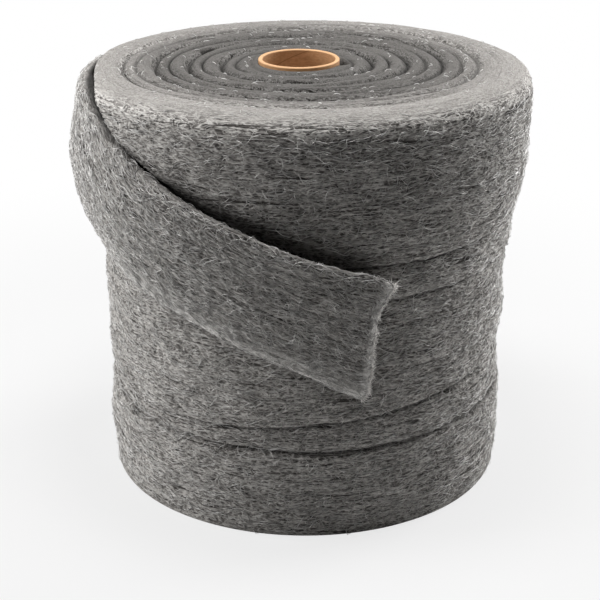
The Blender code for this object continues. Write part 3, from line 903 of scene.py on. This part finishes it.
def make_wool():
    material, tree, shader = new_material("matted_steel_wool")
    grain = add_node(tree, "ShaderNodeAttribute", attribute_name="grain").outputs["Vector"]

    def cells(length, width, sway=0.0, number=0):
        """Coordinates that count cells of a length and width, swaying across the fibres."""
        shifted = add_node(tree, "ShaderNodeVectorMath", operation="ADD")
        shifted.inputs[1].default_value = (0.37 * number, 0.11 * number, 0.53 * number)
        tree.links.new(grain, shifted.inputs[0])
        place = shifted.outputs[0]
        if sway:
            aside = noise_node(tree, place, 1 / SWAY_LENGTH, 1, 0.5)
            moved = add_node(tree, "ShaderNodeCombineXYZ")
            tree.links.new(math_node(tree, "MULTIPLY", aside, 2 * sway), moved.inputs[2])
            swayed = add_node(tree, "ShaderNodeVectorMath", operation="ADD")
            tree.links.new(place, swayed.inputs[0])
            tree.links.new(moved.outputs[0], swayed.inputs[1])
            place = swayed.outputs[0]
        counted = add_node(tree, "ShaderNodeVectorMath", operation="DIVIDE")
        counted.inputs[1].default_value = (length, length, width)
        tree.links.new(place, counted.inputs[0])
        return counted.outputs[0]

    def lines(noise, thinness):
        """1 on the lines where a noise passes through one half, falling to 0 beside them."""
        away = math_node(tree, "ABSOLUTE", math_node(tree, "SUBTRACT", noise, 0.5))
        return math_node(tree, "SUBTRACT", 1.0, math_node(tree, "DIVIDE", away, thinness), clamp=True)

    threads = 0.0
    for number, (length, width, sway, thinness, brightness) in enumerate(THREAD_LAYERS, 1):
        noise = noise_node(tree, cells(length, width, sway, number), 1.0, 1.0, 0.5, 0.3)
        layer = math_node(tree, "MULTIPLY", lines(noise, thinness), brightness)
        threads = math_node(tree, "MAXIMUM", threads, layer)
    mat = noise_node(tree, cells(4.0 * MM, 1.4 * MM, 3 * MM, 4), 1.0, 1, 0.5, 0.5)
    tufts = noise_node(tree, cells(30 * MM, 7 * MM, 0.0, 5), 1.0, 2, 0.55, 0.6)
    split_noise = noise_node(tree, cells(140 * MM, 5 * MM, 0.0, 6), 1.0, 0.0, 0.5, 0.2)
    split_place = noise_node(tree, cells(48 * MM, 6 * MM, 0.0, 7), 1.0, 1, 0.5)
    open_split = math_node(tree, "MULTIPLY_ADD", split_place, 9.0, clamp=True)
    open_split.node.inputs[2].default_value = -4.1
    splits = math_node(tree, "MULTIPLY", lines(split_noise, 0.024), open_split)

    body = math_node(tree, "ADD", math_node(tree, "MULTIPLY", mat, 0.75), math_node(tree, "MULTIPLY", tufts, 0.25))
    height = math_node(tree, "ADD", body, math_node(tree, "MULTIPLY", threads, 0.34))
    height = math_node(tree, "SUBTRACT", height, math_node(tree, "MULTIPLY", splits, 0.42))
    tone = ramp_node(
        tree, ((0.37, GAP_SHADE_COLOR), (0.52, MAT_COLOR), (0.70, THREAD_COLOR), (0.88, PALE_COLOR))
    )
    tree.links.new(height, tone.inputs[0])

    edges = noise_node(tree, cells(2.4 * MM, 1.3 * MM, 0.0, 9), 1.0, 2, 0.6, 0.4)
    edge_tone = ramp_node(tree, ((0.25, MAT_COLOR), (0.50, EDGE_COLOR), (0.80, THREAD_COLOR)))
    tree.links.new(edges, edge_tone.inputs[0])
    normal = add_node(tree, "ShaderNodeSeparateXYZ")
    tree.links.new(add_node(tree, "ShaderNodeTexCoord").outputs["Normal"], normal.inputs[0])
    upward = add_node(tree, "ShaderNodeMapRange")
    upward.inputs["From Min"].default_value = 0.55
    upward.inputs["From Max"].default_value = 0.9
    upward.inputs["To Max"].default_value = 0.8
    tree.links.new(normal.outputs["Z"], upward.inputs["Value"])
    color = mix_colors(tree, upward.outputs["Result"], tone.outputs[0], edge_tone.outputs[0])
    combed = noise_node(tree, cells(3.5 * MM, 1.4 * MM, 1 * MM, 10), 1.0, 2, 0.6, 0.3)
    combed_tone = ramp_node(tree, ((0.30, THREAD_COLOR), (0.44, PALE_COLOR), (0.56, COMBED_HIGHLIGHT_COLOR)))
    tree.links.new(combed, combed_tone.inputs[0])
    # The ribbon's edges: a combed grain with a painted highlight.
    rim = add_node(tree, "ShaderNodeAttribute", attribute_name="painted_edge_highlight").outputs["Fac"]
    color = mix_colors(tree, rim, color, combed_tone.outputs[0])
    # The tone scales the color; it carries painted shade and a painted sheen set where the skins are built.
    toned = add_node(tree, "ShaderNodeVectorMath", operation="MULTIPLY")
    tree.links.new(color, toned.inputs[0])
    tree.links.new(add_node(tree, "ShaderNodeAttribute", attribute_name="tone").outputs["Fac"], toned.inputs[1])
    tree.links.new(toned.outputs[0], shader.inputs["Base Color"])
    bump = add_node(tree, "ShaderNodeBump")
    bump.inputs["Strength"].default_value = 1.0
    bump.inputs["Distance"].default_value = 1.15 * MM
    tree.links.new(height, bump.inputs["Height"])
    tree.links.new(bump.outputs[0], shader.inputs["Normal"])
    shader.inputs["Metallic"].default_value = 0.02
    shader.inputs["Roughness"].default_value = 0.8
    shader.inputs["Specular IOR Level"].default_value = 0.05
    return material


wool = make_wool()
print("material:", wool.name)

# %% [markdown]
# ## The wound wool
#
# Now the pieces come together: the winding's outline, pushed in and out along its normals by the
# matted relief. The relief fades away at the foot, so that the reel stands flat, and in the bore.

# %% Winding
WINDING_SEED = 11


def make_winding(points):
    rows, columns = points.shape[:2]
    normals = surface_normals(points, True)
    along_step, across = grid_steps(points, True)
    lap_share = np.arange(columns) / columns
    along = LAP * np.broadcast_to(lap_share, (rows, columns))
    across_grid = np.broadcast_to(across[:, None], (rows, columns))
    row = np.arange(rows)
    shown = smooth_step(row, first_side_row - 1, first_side_row + 8)
    shown = shown * (1 - smooth_step(row, last_turn_row - 3, last_turn_row))
    calmer = 1 - 0.8 * smooth_step(row, first_side_row + SIDE_ROWS, first_side_row + SIDE_ROWS + RIM_ROWS)
    relief = matted_relief(along, across_grid, WINDING_SEED) * (shown * calmer)[:, None]
    points = points + normals * relief[..., None]
    piece = mesh_piece("steel_wool_winding", points.reshape(-1, 3), grid_faces(rows, columns, True), wool)
    turn = along / RIM_RADIUS
    grain = np.stack((RIM_RADIUS * np.cos(turn), RIM_RADIUS * np.sin(turn), across_grid), axis=-1)
    add_grain_map(piece, grain)
    add_number_map(piece, "tone", winding_tones)
    return piece, Surface(points, surface_normals(points, True), along_step, across, True, winding_tones)


winding, winding_surface = make_winding(winding_points)
print("winding:", len(winding.data.polygons), "faces")

# %% [markdown]
# ## The last turn and its free end
#
# The band's section is a rounded rectangle, lofted along its way with many more points than the solid
# has. Both ends are closed: the one inside the winding plainly, and the cut one as a small grid of its
# own, so that it can bulge and fray.

# %% Rows and stations of the last turn
STATIONS = 226
FACE_ROWS = 104
CUT_ROWS = 5
CUT_BULGE = 1 * MM
HUGGING_SQUARENESS = 2.5
HANGING_SQUARENESS = 4.0
CUT_ROUNDING = 3 * MM


def section_ways(angle):
    """Width and depth ways of one face of the section, evenly spaced along its rounded outline."""
    hangs = smooth_step(angle, *HANGING_ANGLES)
    squareness = HUGGING_SQUARENESS + (HANGING_SQUARENESS - HUGGING_SQUARENESS) * hangs
    turn = np.linspace(pi, 0, 4001)
    width = np.sign(np.cos(turn)) * np.abs(np.cos(turn)) ** (2 / squareness)
    depth = np.abs(np.sin(turn)) ** (2 / squareness)
    length = np.hypot(np.diff(width) * PULLED_WIDTH / 2, np.diff(depth) * RIBBON_THICKNESS / 2)
    length = np.concatenate(([0.0], np.cumsum(length)))
    even = np.linspace(0, length[-1], FACE_ROWS + 1)
    return np.interp(even, length, width), np.interp(even, length, depth)


def free_end_points():
    """Grid of the last turn: rows up its outer face and down its inner face, columns along it."""
    columns = []
    for angle in np.linspace(BURIED_ANGLE, CUT_ANGLE, STATIONS):
        width, depth = section_ways(angle)
        from_cut = min((CUT_ANGLE - angle) * RIM_RADIUS / CUT_ROUNDING, 1.0)
        depth = depth * (0.35 + 0.65 * sqrt(1 - (1 - from_cut) ** 2))
        width_way = np.concatenate((width, width[-2:0:-1]))
        depth_way = np.concatenate((depth, -depth[-2:0:-1]))
        columns.append(ribbon_section(angle, width_way, depth_way))
    return np.stack(columns, axis=1)


free_points = free_end_points()
print("last turn: rows x stations", free_points.shape[:2])

# %% Last turn
FREE_END_SEED = 31
TUCKED_FROM = (radians(-118), radians(-88))
TUCKED_TO = (radians(-60), radians(-44))
TUCKED_ANGLES = (radians(-100), radians(-84), radians(-66), radians(-50))
TUCKED_REACHES = (2.5 * MM, 4.5 * MM, 11 * MM, 7 * MM)
TUCKED_PAINTED_SHADE = 0.88
BAND_TONE = 0.92
CUT_EDGE = (4.5 * MM, 9 * MM)
LOWER_EDGE = (7 * MM, 11.5 * MM, 34 * MM)


def edge_highlight_share(along, up_face):
    """Share of the painted highlight: 1 at the cut and at the lower edge, falling to 0 a few millimetres in."""
    ragged = 1.5 * MM * random_field(along, up_face, 9 * MM, 6 * MM, FREE_END_SEED)
    from_cut = along.max() - along + ragged
    from_below = up_face + ragged
    cut = 1 - smooth_step(from_cut, CUT_EDGE[0], CUT_EDGE[1])
    below = 1 - smooth_step(from_below, LOWER_EDGE[0], LOWER_EDGE[1])
    faint = 0.42 * (1 - smooth_step(from_below, LOWER_EDGE[0], LOWER_EDGE[2]))
    return np.maximum(np.maximum(cut, 0.9 * below), faint)


def tucked_shade_tones(up_face):
    """Tone of the band, with painted shade toward its upper edge where that is tucked in beside the winding."""
    angle = np.linspace(BURIED_ANGLE, CUT_ANGLE, STATIONS)
    tucked = smooth_step(angle, *TUCKED_FROM) * (1 - smooth_step(angle, *TUCKED_TO))
    reach = np.interp(angle, TUCKED_ANGLES, TUCKED_REACHES)
    return 1 - TUCKED_PAINTED_SHADE * tucked * (1 - smooth_step(up_face.max() - up_face, 0.4 * reach, 1.3 * reach))


def make_free_end(points):
    rows, columns = points.shape[:2]
    normals = surface_normals(points, False)
    along_step, across = grid_steps(points, False)
    along = np.broadcast_to(along_step.max() * np.arange(columns), (rows, columns))
    across_grid = np.broadcast_to(across[:, None], (rows, columns))
    relief = matted_relief(along, across_grid, FREE_END_SEED)
    inner = np.arange(rows) > FACE_ROWS
    relief = np.where(inner[:, None], 0.4 * relief, 1.3 * relief)
    points = points + normals * relief[..., None]

    outer_cut, inner_cut = points[1:FACE_ROWS, -1], points[-1:FACE_ROWS:-1, -1]
    onward = points[:, -1] - points[:, -2]
    onward = (onward / np.linalg.norm(onward, axis=-1, keepdims=True)).mean(axis=0)
    cut_points = []
    for step in range(1, CUT_ROWS):
        share = step / CUT_ROWS
        bulge = CUT_BULGE * np.sqrt(4 * share * (1 - share))
        cut_points.append(outer_cut + (inner_cut - outer_cut) * share + onward * bulge)
    cut_points = np.stack(cut_points)

    all_points = np.concatenate((points.reshape(-1, 3), cut_points.reshape(-1, 3)))
    faces = grid_faces(rows, columns, False).tolist()
    faces.append([row * columns for row in range(rows)])
    first_cut = rows * columns
    strip = FACE_ROWS - 1

    def cut_corner(row, step):
        """Point on the cut at a row of the face, `step` rows from the outer face to the inner one."""
        if row == 0 or row == FACE_ROWS or step == 0:
            return row * columns + columns - 1
        if step == CUT_ROWS:
            return (rows - row) * columns + columns - 1
        return first_cut + (step - 1) * strip + row - 1

    for row in range(FACE_ROWS):
        for step in range(CUT_ROWS):
            corners = [(row, step), (row, step + 1), (row + 1, step + 1), (row + 1, step)]
            face = list(dict.fromkeys(cut_corner(*corner) for corner in corners))
            faces.append(face)
    piece = mesh_piece("steel_wool_free_end", all_points, faces, wool)
    up_face = across[np.minimum(np.arange(rows), rows - np.arange(rows))]
    up_face = np.broadcast_to(up_face[:, None], (rows, columns))
    grain = np.stack((along, 0 * along, up_face), axis=-1)
    cut_grain = np.stack([grain[1:FACE_ROWS, -1]] * (CUT_ROWS - 1)).reshape(-1, 3)
    add_grain_map(piece, np.concatenate((grain.reshape(-1, 3), cut_grain)))
    pale = edge_highlight_share(along, up_face)
    pale = np.concatenate((pale.ravel(), np.ones(len(all_points) - pale.size)))
    add_number_map(piece, "painted_edge_highlight", pale)
    tones = BAND_TONE * tucked_shade_tones(up_face)
    add_number_map(piece, "tone", np.concatenate((tones.ravel(), np.ones(len(all_points) - tones.size))))
    return piece, Surface(points, surface_normals(points, False), along_step, across, False, tones)


free_end, free_surface = make_free_end(free_points)
print("last turn:", len(free_end.data.polygons), "faces")

# %% [markdown]
# ## Loose fibres
#
# A grain in the material stops at the outline. Real fibres do not: they cross each other, stand off
# the mat in low loops and catch the light as fine pale lines. So they are modelled. Each fibre is a thin
# three-sided tube, pointed at both ends, that follows the skin: it starts at a random place, heads along
# the winding with a little wander, and rises and dips like a thread in felt. Its path is worked out on
# the flat map of the skin first, and then lifted onto the skin, thousands at a time.

# %% Fibre tubes
FIBRE_SIDES = 3
LEAST_TONE = 0.45


def on_surface(surface, row, column):
    """Points and normals at fractional rows and columns of a surface."""
    rows, columns = surface.points.shape[:2]
    if surface.closed:
        column = column % columns
    else:
        column = np.clip(column, 0, columns - 1.001)
    row = np.clip(row, 0, rows - 1.001)
    r, c = row.astype(int), column.astype(int)
    fr, fc = (row - r)[..., None], (column - c)[..., None]
    next_c = (c + 1) % columns
    found = []
    for grid in (surface.points, surface.normals):
        low = grid[r, c] * (1 - fc) + grid[r, next_c] * fc
        high = grid[r + 1, c] * (1 - fc) + grid[r + 1, next_c] * fc
        found.append(low * (1 - fr) + high * fr)
    return found


def fibre_tubes(name, paths, normals, radius, material):
    """One object of thin closed tubes along paths given as an array of fibres x points x 3."""
    count, steps = paths.shape[:2]
    tangents = np.gradient(paths, axis=1)
    tangents /= np.maximum(np.linalg.norm(tangents, axis=-1, keepdims=True), 1e-12)
    side = np.cross(normals, tangents)
    side /= np.maximum(np.linalg.norm(side, axis=-1, keepdims=True), 1e-12)
    up = np.cross(tangents, side)
    taper = 0.35 + 0.65 * np.sin(np.linspace(0, pi, steps))
    thick = (radius[:, None] * taper)[..., None]
    rings = []
    for corner in range(FIBRE_SIDES):
        turn = 2 * pi * corner / FIBRE_SIDES + pi / 2
        rings.append(paths + thick * (side * cos(turn) + up * sin(turn)))
    rings = np.stack(rings, axis=2)[:, 1:-1]
    per_fibre = FIBRE_SIDES * (steps - 2) + 2
    points = np.concatenate((rings.reshape(count, -1, 3), paths[:, :1], paths[:, -1:]), axis=1)
    faces = []
    first_tip, last_tip = per_fibre - 2, per_fibre - 1
    last_ring = FIBRE_SIDES * (steps - 3)
    for corner in range(FIBRE_SIDES):
        onward = (corner + 1) % FIBRE_SIDES
        faces.append((first_tip, onward, corner))
        faces.append((last_tip, last_ring + corner, last_ring + onward))
        for step in range(steps - 3):
            near, far = FIBRE_SIDES * step, FIBRE_SIDES * (step + 1)
            faces.append((near + corner, near + onward, far + onward))
            faces.append((near + corner, far + onward, far + corner))
    faces = np.array(faces)[None] + per_fibre * np.arange(count)[:, None, None]
    return mesh_piece(name, points.reshape(-1, 3), faces.reshape(-1, 3), material)


print("a fibre of 6 points has", 2 * FIBRE_SIDES * 4, "triangles")

# %% Fibres along a surface


def trace_fibres(surface, rng, count, first_row, last_row, steps, length, spread, curl, lift):
    """Paths of fibres laid on a surface between two rows.

    `length` is the range of lengths, `spread` how far their heading strays from the winding's, in
    radians, `curl` how fast they turn, in radians for each metre, and `lift` their height at mid way.
    """
    band = np.arange(first_row, last_row)
    area = surface.along[band] * np.diff(surface.across)[band]
    row = rng.choice(band, count, p=area / area.sum()) + rng.uniform(0, 1, count)
    column = rng.uniform(0, surface.points.shape[1], count)
    total = rng.uniform(*length, count)
    heading = rng.normal(0, spread, count)
    bend = rng.normal(0, curl, count)
    wave = rng.uniform(0, 2 * pi, count)
    step_length = (total / (steps - 1))[:, None]
    travelled = step_length * (np.arange(steps - 1) + 0.5)
    heading = heading[:, None] + bend[:, None] * (travelled - total[:, None] / 2)
    heading = heading + 0.25 * np.sin(wave[:, None] + travelled / (5 * MM))
    start = np.zeros((count, 1))
    along = np.hstack((start, np.cumsum(step_length * np.cos(heading), axis=1)))
    across = np.hstack((start, np.cumsum(step_length * np.sin(heading), axis=1)))
    rows = np.arange(len(surface.across))
    origin = np.interp(row, rows, surface.across)
    row_path = np.interp(origin[:, None] + across, surface.across, rows)
    column_path = column[:, None] + along / np.interp(row_path, rows, surface.along)
    places, normals = on_surface(surface, row_path, column_path)
    arch = np.sin(np.linspace(0, pi, steps)) - 0.25
    height = rng.uniform(*lift, count)[:, None] * arch
    paths = places + normals * height[..., None]
    near_row = np.clip(row_path, 0, len(rows) - 1).astype(int)
    near_column = np.round(column_path).astype(int) % surface.tones.shape[1]
    # Fibres are left out where the skin's tone holds painted shade.
    kept = surface.tones[near_row, near_column].min(axis=1) > LEAST_TONE
    return paths[kept], normals[kept]


print("fibres can be traced")

# %% [markdown]
# The fibres shine more than the mat, because each one is clean bright steel, and none is laid where the
# skin has painted shade. A noise in space gives neighbouring fibres different greys.

# %% Bright fibre material
FIBRE_DARK = (0.30, 0.29, 0.28)
FIBRE_LIGHT = (0.90, 0.885, 0.865)


def make_fibre(name, dark, light):
    material, tree, shader = new_material(name)
    place = add_node(tree, "ShaderNodeTexCoord").outputs["Object"]
    patches = noise_node(tree, place, 160, 2, 0.6)
    tone = ramp_node(tree, ((0.32, dark), (0.68, light)))
    tree.links.new(patches, tone.inputs[0])
    tree.links.new(tone.outputs[0], shader.inputs["Base Color"])
    shader.inputs["Metallic"].default_value = 0.15
    shader.inputs["Roughness"].default_value = 0.5
    return material


bright_fibre = make_fibre("bright_steel_fibre", FIBRE_DARK, FIBRE_LIGHT)
# The cut end's fringe fibres are pale by a painted highlight, where their ends catch the light.
cut_fibre = make_fibre("cut_end_fibre_painted_highlight", PALE_COLOR, COMBED_HIGHLIGHT_COLOR)
print("materials:", bright_fibre.name, cut_fibre.name)

# %% Fibres on the winding and on the free end
FRINGE_LENGTH = (3 * MM, 8 * MM)
FRINGE_COUNT = 1500
rng = np.random.default_rng(7)
side_rows = (first_side_row + 2, first_side_row + SIDE_ROWS)
top_rows = (first_side_row + SIDE_ROWS, last_turn_row - 2)
outer_rows = (1, FACE_ROWS)
FIBRE_LAYS = (
    ("fibres_low_side", winding_surface, 8000, side_rows, (9 * MM, 26 * MM), 0.16, 20, 2.0 * MM),
    ("fibres_high_side", winding_surface, 8000, side_rows, (6 * MM, 18 * MM), 0.7, 130, 2.2 * MM),
    ("fibres_top", winding_surface, 700, top_rows, (4 * MM, 10 * MM), 0.8, 70, 0.9 * MM),
    ("fibres_free_end", free_surface, 5200, outer_rows, (7 * MM, 26 * MM), 0.6, 120, 2.2 * MM),
)


def fringe_at_cut(name, points, count):
    """Short fibres that stand out of the cut end, each heading on along the ribbon and a little astray."""
    row = rng.integers(1, FACE_ROWS, count)
    depth = rng.uniform(0, 1, (count, 1))
    outer, inner = points[row, -1], points[-row, -1]
    starts = outer + (inner - outer) * depth
    onward = points[row, -1] - points[row, -3]
    across = points[row + 1, -1] - points[row - 1, -1]
    thick = outer - inner
    ways = [way / np.maximum(np.linalg.norm(way, axis=-1, keepdims=True), 1e-9) for way in (onward, across, thick)]
    heading = ways[0] + ways[1] * rng.normal(0, 0.45, (count, 1)) + ways[2] * rng.normal(0, 0.35, (count, 1))
    curl = ways[1] * rng.normal(0, 0.5, (count, 1)) + ways[2] * rng.normal(0, 0.3, (count, 1))
    far = rng.uniform(*FRINGE_LENGTH, (count, 1, 1)) * np.linspace(0, 1, 6)[:, None]
    bent = far**2 / FRINGE_LENGTH[1]
    paths = (starts - 1 * MM * ways[0])[:, None] + heading[:, None] * far + curl[:, None] * bent
    normals = np.broadcast_to(ways[2][:, None], paths.shape)
    return fibre_tubes(name, paths, normals, rng.uniform(0.14 * MM, 0.30 * MM, count), cut_fibre)


def lay_fibres(name, surface, count, rows, length, spread, curl, highest):
    paths, normals = trace_fibres(
        surface, rng, count, *rows, steps=6, length=length, spread=spread, curl=curl, lift=(0.4 * MM, highest)
    )
    radius = rng.uniform(0.18 * MM, 0.38 * MM, len(paths))
    return fibre_tubes(name, paths, normals, radius, bright_fibre)


fibres = [lay_fibres(*lay) for lay in FIBRE_LAYS]
fibres.append(fringe_at_cut("fibres_cut_end", free_surface.points, FRINGE_COUNT))
for piece in fibres:
    print(piece.name + ":", len(piece.data.polygons), "triangles")

# %% [markdown]
# ## Hand the pieces over
#
# Every new piece rides on the reel's one body. The winding and the last turn stand for the ribbon's
# solid, which is then hidden.

# %% Finish
for piece in [winding, free_end] + fibres:
    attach(piece, "root")
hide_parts("steel_wool_ribbon")
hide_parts("steel_wool_ribbon")
